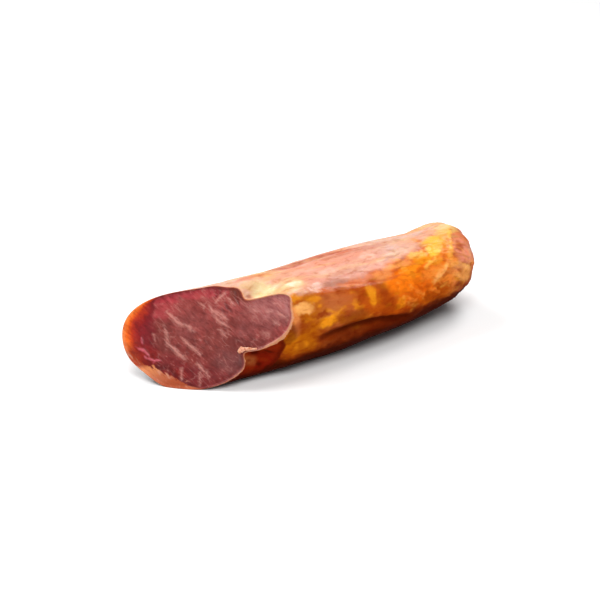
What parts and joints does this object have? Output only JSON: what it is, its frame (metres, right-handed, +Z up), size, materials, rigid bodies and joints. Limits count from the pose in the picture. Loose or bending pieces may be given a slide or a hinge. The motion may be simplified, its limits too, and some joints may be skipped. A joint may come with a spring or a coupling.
{
  "type": "cured pork loin",
  "caption": "Whole cured pork loin in its casing, lying on its side, with a broad bias-cut face at one end and the casing gathered shut at the other.",
  "frame": {"origin": "middle of the loin's bounding box in plan, at the height of the flat it rests on", "axes": "+X along the loin from the bias-cut end to the gathered end, -Y towards the side that the cut face turns to, +Z up"},
  "size_m": [0.1962, 0.0602, 0.0454],
  "materials": {
    "cured_loin": "translucent amber to red-brown casing with a soft oily sheen over the cured meat; the cut face is dark mauve-red with pink marbling"
  },
  "bodies": {
    "root": {"cured_loin": "cured_loin"}
  },
  "joints": []
}
